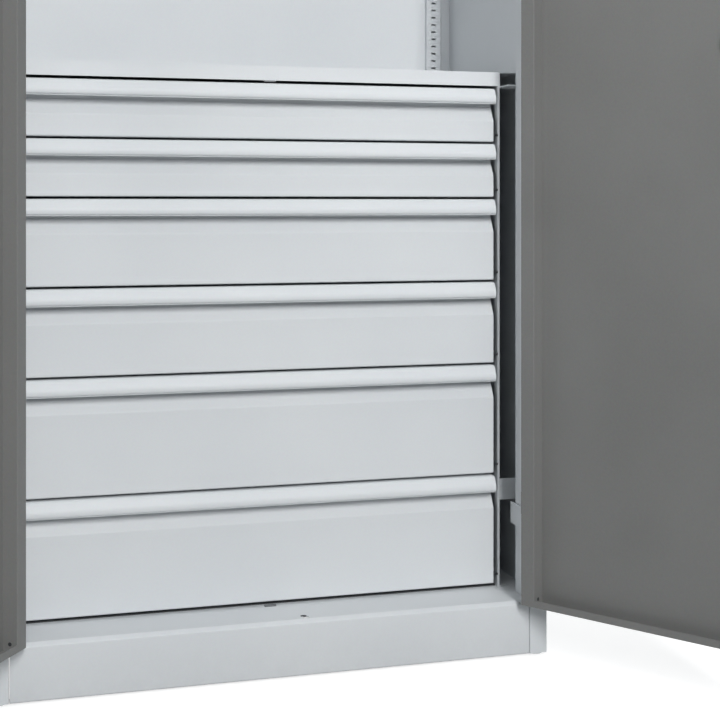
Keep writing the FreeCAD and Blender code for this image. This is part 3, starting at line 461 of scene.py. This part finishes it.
def rod(bm, radius, low, high, matrix, steps):
    """Add a plain round or polygonal rod between two heights."""
    turned(bm, [(0.0, low), (radius, low), (radius, high), (0.0, high)], matrix, steps)


foot_outline = list(sole_outline)
height = thread_start
while height < stud_top - thread_pitch:
    foot_outline.append((thread_radius - thread_depth, height))
    foot_outline.append((thread_radius, height + thread_pitch / 2))
    height += thread_pitch
foot_outline += [(thread_radius - thread_depth, stud_top), (0.0, stud_top)]
feet = bmesh.new()
for side in (-1, 1):
    for depth in foot_depths:
        stand = Matrix.Translation((side * foot_across, depth, 0.0))
        turned(feet, foot_outline, stand, foot_steps)
        rod(feet, nut_reach, nut_foot, nut_top, stand, nut_sides)
foot_piece = piece("levelling_feet_turned", feet, zinc, "cabinet")
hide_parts("levelling_feet")
finish(carcass_paint, "foot_gussets")

# Drawer housing and its tie brackets: sheet in the carcass colour, welded to the base and the
# sides, with small dark-grey centre tabs. A black plastic runner stop sits on its front edge
# beside each drawer. On the sill a thin near-black disc is painted shade, standing for the dark
# round hole for the tip of the lower lock rod.
stop_heights = (0.914, 0.815, 0.666, 0.517, 0.318, 0.119)
stop_radius = 0.0025
stop_rise = 0.0030
stop_across = 0.4206
stop_depth = -0.3990
sill_hole_place = (0.0412, -0.4745, 0.0950)
sill_hole_radius = 0.0055
sill_hole_rise = 0.0003
face_front = (quarter_turn, 0.0, 0.0)
face_up = (0.0, 0.0, 0.0)
# Near-black: the runner stops' own black plastic, and painted shade for the sill's rod hole, the
# door drain holes, the key slot and the gap under the lowest drawer.
stop_and_shade_tone = (0.035, 0.038, 0.042)
stop_and_shade_roughness = 0.7
stop_and_shade_grain = 900.0
tab_tone = (0.16, 0.17, 0.18)
tab_roughness = 0.55
tab_grain = 700.0
grain_shade = 0.75
grain_gloss = 0.06
grain_strength = 0.15
grain_depth = 0.0002


def dull(name, tone, roughness, grain_scale):
    """A matt dark material with a fine moulded grain."""
    stuff, tree, surface, coords = blank_material(name)
    grain = noise(tree, coords, grain_scale, detail=4.0).outputs["Fac"]
    colour = two_tone(tree, grain, shaded(tone, grain_shade), shaded(tone))
    tree.links.new(colour, surface.inputs["Base Color"])
    uneven_gloss(tree, surface, grain, (roughness - grain_gloss, roughness + grain_gloss))
    relief(tree, surface, grain, grain_strength, grain_depth)
    return stuff


hole_dark = dull("hole_dark", stop_and_shade_tone, stop_and_shade_roughness, stop_and_shade_grain)
stop_points = [(side * stop_across, stop_depth, z) for side in (-1, 1) for z in stop_heights]
grown(
    "runner_stops", stop_points, [], domed_heads, "cabinet", "black_plastic",
    head_radius=stop_radius, head_rise=stop_rise, head_turn=face_front, material=hole_dark,
)
# Painted shade: a thin near-black disc on the sill over the lock rod's hole.
grown(
    "sill_rod_hole", [sill_hole_place], [], domed_heads, "cabinet", "black_plastic",
    head_radius=sill_hole_radius, head_rise=sill_hole_rise, head_turn=face_up,
    material=hole_dark,
)
finish(carcass_paint, "drawer_housing_left", "drawer_housing_right", "pocket_brackets")
finish(dull("tab_grey", tab_tone, tab_roughness, tab_grain), "centre_tabs")

# Fixed shelf over the drawers: a tray of folded sheet, welded in. Its front flange is notched
# over the pockets beside the housing, so that the hollow under the shelf shows dark there.
notch_across = (0.4265, 0.4715)
notch_depths = (-0.405, -0.396)
notch_levels = (1.0015, 1.0264)
block_faces = (
    (0, 1, 3, 2), (4, 6, 7, 5), (0, 4, 5, 1), (2, 3, 7, 6), (0, 2, 6, 4), (1, 5, 7, 3),
)


def block(bm, across, depths, levels):
    """Add a box between two values each of X, Y and Z."""
    corners = [bm.verts.new((x, y, z)) for x in across for y in depths for z in levels]
    for face in block_faces:
        bm.faces.new([corners[corner] for corner in face])


def carved(form, blocks):
    """Cut the blocks in one bmesh out of the form in another, and return the rest."""
    made = []
    for body in (form, blocks):
        bmesh.ops.remove_doubles(body, verts=body.verts, dist=weld_distance)
        bmesh.ops.recalc_face_normals(body, faces=body.faces)
        mesh = bpy.data.meshes.new("carving")
        body.to_mesh(mesh)
        body.free()
        made.append(placed("carving", mesh))
    cut = made[0].modifiers.new("cut", "BOOLEAN")
    cut.operation = "DIFFERENCE"
    cut.solver = "EXACT"
    cut.object = made[1]
    bpy.context.view_layer.update()
    graph = bpy.context.evaluated_depsgraph_get()
    rest = bmesh.new()
    rest.from_mesh(bpy.data.meshes.new_from_object(made[0].evaluated_get(graph)))
    for spent in made:
        bpy.data.objects.remove(spent)
    return rest


notches = bmesh.new()
for side in (-1, 1):
    block(notches, [side * x for x in notch_across], notch_depths, notch_levels)
tray = bmesh.new()
tray.from_mesh(nodes["fixed_shelf"].data)
shelf_piece = piece(
    "fixed_shelf_cut", carved(tray, notches), carcass_paint, "cabinet",
)
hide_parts("fixed_shelf")

# Upper compartment: slotted uprights welded into the corners, and two shelves of folded
# sheet that hang on bright zinc clips.
finish(
    carcass_paint, "shelf_uprights_rear", "shelf_uprights_front", "adjustable_shelf_lower",
    "adjustable_shelf_upper",
)
finish(zinc, "shelf_clips")

# Runners: rolled steel channels, zinc plated, on the housing and on each drawer, with a
# middle rail whose rollers run between their flanges.
drawer_count = 6
finish(zinc, "cabinet_rails")
for number in range(1, drawer_count + 1):
    finish(zinc, f"drawer_{number}_rails", f"middle_rails_{number}")

# Drawer fronts: one sheet each. It goes up the flat front, slopes back into a finger recess,
# turns over the top and hangs down as a rounded grip lip 27 mm deep with a rolled foot. The
# ends stay open, so the hollow behind the lip can be seen beside the housing.
drawer_pitches = (0.100, 0.100, 0.150, 0.150, 0.200, 0.200)
stack_level = 0.100
drawer_reveal = 0.004
front_half_width = 0.414
front_sheet = 0.0012
front_face = -0.400
front_rear = -0.382
recess_floor = -0.385
recess_slant = 0.005
recess_height = 0.059
recess_round = 0.0030
fold_round = 0.0018
lip_face = -0.414
lip_height = 0.0272
lip_lean = 0.0085
lip_round = 0.0105
lip_crest = 0.0175
lip_swell = 0.0180
lip_tuck = 0.0008
hem_gap = 0.0084
hem_round = 0.0041
hem_depth = 0.014
bend_steps = 8
bend_support = 0.0005


def rounded_path(corners):
    """Points along a folded sheet; corners are (y, z, bend radius), the ends with radius 0."""
    path = []
    for at, (y, z, radius) in enumerate(corners):
        corner = Vector((y, z))
        if radius == 0.0:
            path.append(corner)
            continue
        back = (Vector(corners[at - 1][:2]) - corner).normalized()
        ahead = (Vector(corners[at + 1][:2]) - corner).normalized()
        half = back.angle(ahead) / 2
        reach = radius / math.tan(half)
        centre = corner + (back + ahead).normalized() * (radius / math.sin(half))
        begin = corner + back * reach
        end = corner + ahead * reach
        path.append(begin + back * bend_support)
        first = begin - centre
        turn = first.angle_signed(end - centre)
        for step in range(bend_steps + 1):
            angle = -turn * step / bend_steps
            spun = Vector((
                first.x * math.cos(angle) - first.y * math.sin(angle),
                first.x * math.sin(angle) + first.y * math.cos(angle),
            ))
            path.append(centre + spun)
        path.append(end + ahead * bend_support)
    return path


def sheet_along_x(bm, path, reach, thickness, inward):
    """A sheet that follows a path in Y and Z, from -reach to reach in X, with its thickness."""
    offsets = []
    for at, point in enumerate(path):
        before = path[max(at - 1, 0)]
        after = path[min(at + 1, len(path) - 1)]
        along = (after - before).normalized()
        offsets.append(point + Vector((-along.y, along.x)) * thickness * inward)
    rows = []
    for x in (-reach, reach):
        rows.append([[bm.verts.new((x, p.x, p.y)) for p in line] for line in (path, offsets)])
    (left_outer, left_inner), (right_outer, right_inner) = rows
    for at in range(len(path) - 1):
        to = at + 1
        bm.faces.new((left_outer[at], right_outer[at], right_outer[to], left_outer[to]))
        bm.faces.new((left_inner[at], left_inner[to], right_inner[to], right_inner[at]))
        bm.faces.new((left_outer[at], left_outer[to], left_inner[to], left_inner[at]))
        bm.faces.new((right_outer[at], right_inner[at], right_inner[to], right_outer[to]))
    for at in (0, -1):
        bm.faces.new((left_outer[at], left_inner[at], right_inner[at], right_outer[at]))


drawer_paint = powder_coat("drawer_paint", carcass_colour, carcass_shade, carcass_gloss)
drawer_tops = []
top_line = stack_level + sum(drawer_pitches)
for number, pitch in enumerate(drawer_pitches, start=1):
    top = top_line - drawer_reveal / 2
    top_line -= pitch
    bottom = top_line + drawer_reveal / 2
    drawer_tops.append((number, top))
    lip_foot = top - lip_height
    folds = [
        (lip_face + hem_gap, lip_foot + hem_depth, 0.0),
        (lip_face + hem_gap, lip_foot, hem_round),
        (lip_face + lip_tuck, lip_foot, hem_round),
        (lip_face, top - lip_crest, lip_swell),
        (lip_face + lip_lean, top, lip_round),
        (recess_floor + front_sheet, top, fold_round),
        (recess_floor + front_sheet, lip_foot - recess_slant, recess_round),
        (front_face + front_sheet, top - recess_height, recess_round),
        (front_face + front_sheet, bottom + front_sheet, fold_round),
        (front_rear, bottom + front_sheet, 0.0),
    ]
    bm = bmesh.new()
    sheet_along_x(bm, rounded_path(folds), front_half_width, front_sheet, -1)
    front = piece(
        f"drawer_{number}_rolled_front", bm, drawer_paint, f"drawer_{number}",
    )
    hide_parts(f"drawer_{number}_front")

# Painted shadow under the lowest drawer: a black hollow profile across the base pan just behind
# the drawer's lower edge, which paints the dark gap to the sill.
strip_depths = (-0.3890, -0.3740)
strip_foot = 0.0950
strip_top = 0.0972
strip_round = 0.0016
strip_wall = 0.0010
strip_half_width = 0.4215
strip_line = [
    (strip_depths[0], strip_foot, 0.0),
    (strip_depths[0], strip_top, strip_round),
    (strip_depths[1], strip_top, strip_round),
    (strip_depths[1], strip_foot, 0.0),
]
bm = bmesh.new()
sheet_along_x(bm, rounded_path(strip_line), strip_half_width, strip_wall, -1)
# The black strip is painted shadow in the gap under the lowest drawer.
piece("sill_foam_strip", bm, hole_dark, "cabinet")

# Plinth: one folded sheet across the front, welded between the side panels and faintly
# scuffed near the floor. Its upper edge slopes back to the sill, with a hole for the tip of
# the lower lock rod and a small one near each end.
plinth_half_width = 0.4408
plinth_sheet = 0.0015
plinth_front = -0.500
plinth_foot = 0.0030
plinth_foot_rear = -0.4800
plinth_foot_round = 0.003
slope_foot = 0.0903
slope_rear = -0.4921
slope_round = 0.0025
plinth_top = 0.0958
plinth_top_rear = -0.4803
plinth_scuff = 0.25
plinth_line = [
    (plinth_top_rear, plinth_top, 0.0),
    (slope_rear, plinth_top, slope_round),
    (plinth_front, slope_foot, slope_round),
    (plinth_front, plinth_foot, plinth_foot_round),
    (plinth_foot_rear, plinth_foot, 0.0),
]
rod_hole = (0.043, -0.4845, 0.0055)
left_end_hole = (-0.4245, -0.4965, 0.0017)
right_end_hole = (0.4245, -0.4965, 0.0017)
drill_foot = 0.080
drill_top = 0.100
drill_steps = 24
plinth_paint = powder_coat(
    "plinth_paint", carcass_colour, carcass_shade, carcass_gloss, scuff=plinth_scuff,
)
bm = bmesh.new()
sheet_along_x(bm, rounded_path(plinth_line), plinth_half_width, plinth_sheet, 1)
drills = bmesh.new()
for x, y, radius in (rod_hole, left_end_hole, right_end_hole):
    rod(drills, radius, drill_foot, drill_top, Matrix.Translation((x, y, 0.0)), drill_steps)
plinth_piece = piece(
    "plinth_front_sloped", carved(bm, drills), plinth_paint, "cabinet",
)
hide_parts("plinth_front")

# Drawer boxes: open trays of folded sheet behind the fronts, in the carcass colour. The
# upper edge of each tray is rolled to a round safety hem.
safety_hem_radius = 0.0017
safety_hem_corner = 0.004
safety_hem_sides = 12
hem_corner_steps = 6
tray_half_width = 0.4014
tray_front = -0.3800
tray_rear = -0.0406
tray_rim_drop = 0.024


def hem_tree():
    """A node tree that rolls a round hem along the edges of a mesh."""
    tree, begin, end = geometry_tree(
        "rolled_hem", "Hem",
        Line="Geometry", Hem_Radius="Float", Corner_Radius="Float", Material="Material",
    )
    line = tree.nodes.new("GeometryNodeMeshToCurve")
    corner = tree.nodes.new("GeometryNodeFilletCurve")
    corner.mode = "POLY"
    corner.inputs["Count"].default_value = hem_corner_steps
    section = add_node(
        tree, "GeometryNodeCurvePrimitiveCircle", Resolution=safety_hem_sides,
    )
    hem = add_node(tree, "GeometryNodeCurveToMesh", Fill_Caps=True)
    tree.links.new(begin.outputs["Line"], line.inputs["Mesh"])
    tree.links.new(line.outputs["Curve"], corner.inputs["Curve"])
    tree.links.new(begin.outputs["Corner Radius"], corner.inputs["Radius"])
    tree.links.new(begin.outputs["Hem Radius"], section.inputs["Radius"])
    tree.links.new(corner.outputs["Curve"], hem.inputs["Curve"])
    tree.links.new(section.outputs["Curve"], hem.inputs["Profile Curve"])
    hand_out(tree, hem.outputs["Mesh"], begin.outputs["Material"], end)
    return tree


rolled_hem = hem_tree()
for number, top in drawer_tops:
    rim = top - tray_rim_drop
    hem_corners = [
        (-tray_half_width, tray_front, rim),
        (-tray_half_width, tray_rear, rim),
        (tray_half_width, tray_rear, rim),
        (tray_half_width, tray_front, rim),
    ]
    grown(
        f"drawer_{number}_safety_hem", hem_corners, [(0, 1), (1, 2), (2, 3)], rolled_hem,
        f"drawer_{number}", "carcass_paint",
        hem_radius=safety_hem_radius, corner_radius=safety_hem_corner, material=carcass_paint,
    )
    finish(carcass_paint, f"drawer_{number}_box")

# Doors: pans of folded sheet with a closed box profile along the hinge side, in a mid-grey
# powder coat. They hang on weld-on hinges whose zinc pins stand in front of the carcass.
door_colour = (0.212, 0.212, 0.207, 1.0)
door_shade = (0.197, 0.197, 0.192, 1.0)
door_gloss = (0.40, 0.52)
door_paint = powder_coat("door_paint", door_colour, door_shade, door_gloss)
finish(
    door_paint, "door_pan_left", "door_pan_right", "door_overlap_strip", "door_hinge_halves_left",
    "door_hinge_halves_right",
)
finish(carcass_paint, "frame_hinge_halves")
finish(zinc, "hinge_pins")

# Drain holes: one drilled through the inner wall of each door's box profile near both ends.
# In each sits a thin near-black disc, painted shade for the dark hollow behind it.
door_swing = math.radians(123.4)
pin_across = 0.4404
pin_depth = -0.504
drain_radius = 0.0032
drain_rise = 0.0002
drain_across = 0.4119
drain_depth = -0.487
drain_heights = (0.1085, 1.9015)


def opened(side):
    """Where a shut door's pieces go when the door on that side stands open."""
    pin = Matrix.Translation((side * pin_across, pin_depth, 0.0))
    return pin @ Matrix.Rotation(side * door_swing, 4, "Z") @ pin.inverted()


for side, word in ((-1, "left"), (1, "right")):
    spots = [opened(side) @ Vector((side * drain_across, drain_depth, z)) for z in drain_heights]
    # Each disc is painted shade in its drain hole.
    grown(
        f"door_{word}_drain_holes", [tuple(spot) for spot in spots], [], domed_heads,
        f"{word}_door", "black_plastic",
        head_radius=drain_radius, head_rise=drain_rise,
        head_turn=(0.0, quarter_turn, side * door_swing), material=hole_dark,
    )

# Door buffers: small domed rubber pads pressed into the end lips, which take up the shut of
# each door against the sill and the head rail.
buffer_across = 0.0615
buffer_heights = (0.1025, 1.9075)
buffer_outline = [
    (0.0, -0.0004), (0.005, -0.0004), (0.005, 0.0012), (0.0046, 0.0021), (0.0034, 0.0027),
    (0.0018, 0.00295), (0.0, 0.003),
]
buffer_steps = 20
door_inner_face = -0.474
rubber_tone = (0.030, 0.030, 0.031)
rubber_roughness = 0.78
rubber_grain = 1200.0


def pointing_back(x, y, z):
    """A place from which a turned form's height goes back into the cupboard."""
    return Matrix.Translation((x, y, z)) @ Matrix.Rotation(-quarter_turn, 4, "X")


rubber = dull("rubber", rubber_tone, rubber_roughness, rubber_grain)
for side, word in ((-1, "left"), (1, "right")):
    bm = bmesh.new()
    for height in buffer_heights:
        spot = opened(side) @ pointing_back(side * buffer_across, door_inner_face, height)
        turned(bm, buffer_outline, spot, buffer_steps)
    pads = piece(f"door_buffers_{word}_domed", bm, rubber, f"{word}_door")
    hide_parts(f"door_buffers_{word}")

# Lock plate: a black plastic moulding with softened edges, screwed from behind to the outside
# of the right door. It carries the swivel handle and, above it, the key cylinder.
lock_x = 0.043
lock_z = 1.050
plate_half_width = 0.017
plate_levels = (0.955, 1.110)
plate_front = -0.506
plate_back = -0.500
plate_corner = 0.005
plate_corner_steps = 5
plate_round = 0.0012
plate_round_steps = 3
round_profile = 0.5
plastic_tone = (0.028, 0.028, 0.030)
plastic_roughness = 0.42
plastic_grain = 1400.0
black_plastic = dull("black_plastic", plastic_tone, plastic_roughness, plastic_grain)
bm = bmesh.new()
plate_sides = (lock_x - plate_half_width, lock_x + plate_half_width)
block(bm, plate_sides, (plate_front, plate_back), plate_levels)
upright = [edge for edge in bm.edges if edge.verts[0].co.y != edge.verts[1].co.y]
bmesh.ops.bevel(
    bm, geom=upright, offset=plate_corner, segments=plate_corner_steps, profile=round_profile,
    affect="EDGES",
)
plate_middle = (plate_front + plate_back) / 2
rim_edges = [edge for edge in bm.edges if all(v.co.y < plate_middle for v in edge.verts)]
bmesh.ops.bevel(
    bm, geom=rim_edges, offset=plate_round, segments=plate_round_steps, profile=round_profile,
    affect="EDGES",
)
bmesh.ops.transform(bm, matrix=opened(1), verts=bm.verts)
lock_piece = piece("lock_plate_moulding", bm, black_plastic, "right_door")
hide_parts("lock_plate")

# Swivel handle: a lever moulded in black plastic, with a thick hub that tapers to the grip
# and is crowned at the front. Its steel spindle goes through the plate to the lock cam.
lever_start = -0.015
lever_end = 0.120
lever_back = -0.5065
lever_rise = 0.013
hub_half_width = 0.012
grip_half_width = 0.0085
grip_rise = 0.0095
taper_start = 0.15
taper_length = 0.45
tip_width = 0.05
tip_rise = 0.55
lever_squareness = 0.6
lever_stations = 30
lever_sides = 24
lever_sharp = 50.0
spindle_start = -0.508
spindle_radius = 0.006
spindle_length = 0.0175
spindle_steps = 24


def squared(value):
    """Push a sine or cosine outwards, so that a round section turns squarer."""
    return math.copysign(abs(value) ** lever_squareness, value)


def skinned(bm, rings):
    """Add faces from ring to ring, and one over each end."""
    for lower, upper in zip(rings, rings[1:]):
        for at in range(len(lower)):
            after = (at + 1) % len(lower)
            bm.faces.new((lower[at], lower[after], upper[after], upper[at]))
    bm.faces.new(rings[0])
    bm.faces.new(rings[-1])


bm = bmesh.new()
rings = []
for station in range(lever_stations + 1):
    share = station / lever_stations
    along = lever_start + (lever_end - lever_start) * share
    taper = min(max((share - taper_start) / taper_length, 0.0), 1.0)
    taper = taper * taper * (3 - 2 * taper)
    half = hub_half_width + (grip_half_width - hub_half_width) * taper
    rise = lever_rise + (grip_rise - lever_rise) * taper
    from_end = min(along - lever_start, lever_end - along)
    end_round = min(from_end / half, 1.0)
    swell = math.sqrt(max(1.0 - (1.0 - end_round) ** 2, 0.0))
    half *= max(swell, tip_width)
    rise *= tip_rise + (1.0 - tip_rise) * swell
    ring = []
    for side in range(lever_sides):
        angle = 2 * math.pi * side / lever_sides
        y = lever_back - rise * (1.0 - squared(math.sin(angle))) / 2
        ring.append(bm.verts.new((lock_x + along, y, lock_z + squared(math.cos(angle)) * half)))
    rings.append(ring)
skinned(bm, rings)
spindle_place = pointing_back(lock_x, spindle_start, lock_z)
rod(bm, spindle_radius, 0.0, spindle_length, spindle_place, spindle_steps)
bmesh.ops.transform(bm, matrix=opened(1), verts=bm.verts)
lever = piece(
    "swivel_handle_lever", bm, black_plastic, "door_handle", lever_sharp,
)
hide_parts("swivel_handle")

# Key cylinder: a nickel-plated barrel with a chamfered rim, pushed into the plate. Its face
# is slightly sunk. The milled slot for the key is drawn as a thin near-black lozenge set into
# the face, which is painted shade.
nickel_tone = (0.70, 0.68, 0.64)
nickel_gloss = (0.14, 0.24)
cylinder_z = 1.088
cylinder_rim = -0.508
face_sink = 0.0009
cylinder_outline = [
    (0.0, face_sink), (0.0058, face_sink), (0.0062, 0.0004), (0.0066, 0.0), (0.0074, 0.0),
    (0.008, 0.0006), (0.008, 0.009), (0.0, 0.009),
]
cylinder_steps = 36
cylinder_sharp = 30.0
slot_half_width = 0.0008
slot_half_length = 0.0042
slot_lift = 0.00005
slot_depth = 0.0004
slot_steps = 12
nickel = plating("nickel", nickel_tone, nickel_gloss)
bm = bmesh.new()
turned(bm, cylinder_outline, pointing_back(lock_x, cylinder_rim, cylinder_z), cylinder_steps)
bmesh.ops.transform(bm, matrix=opened(1), verts=bm.verts)
barrel = piece("key_cylinder_barrel", bm, nickel, "key_cylinder", cylinder_sharp)
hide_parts("lock_cylinder")
# The key slot is painted shade: a thin near-black lozenge, not a cut.
bm = bmesh.new()
slot_front = cylinder_rim + face_sink - slot_lift
rings = []
for y in (slot_front, slot_front + slot_depth):
    ring = []
    for step in range(slot_steps):
        angle = 2 * math.pi * step / slot_steps
        end = 1 if step < slot_steps / 2 else -1
        middle = cylinder_z + end * (slot_half_length - slot_half_width)
        x = lock_x + slot_half_width * math.cos(angle)
        ring.append(bm.verts.new((x, y, middle + slot_half_width * math.sin(angle))))
    rings.append(ring)
skinned(bm, rings)
bmesh.ops.transform(bm, matrix=opened(1), verts=bm.verts)
piece("key_slot", bm, hole_dark, "key_cylinder")

# Lock works behind the plate: a steel cam with two crank pins, two lock rods with slotted
# yokes, and the guides that keep the rods in line, all zinc plated.
finish(zinc, "lock_cam", "lock_rod_upper", "lock_rod_lower", "rod_guides")
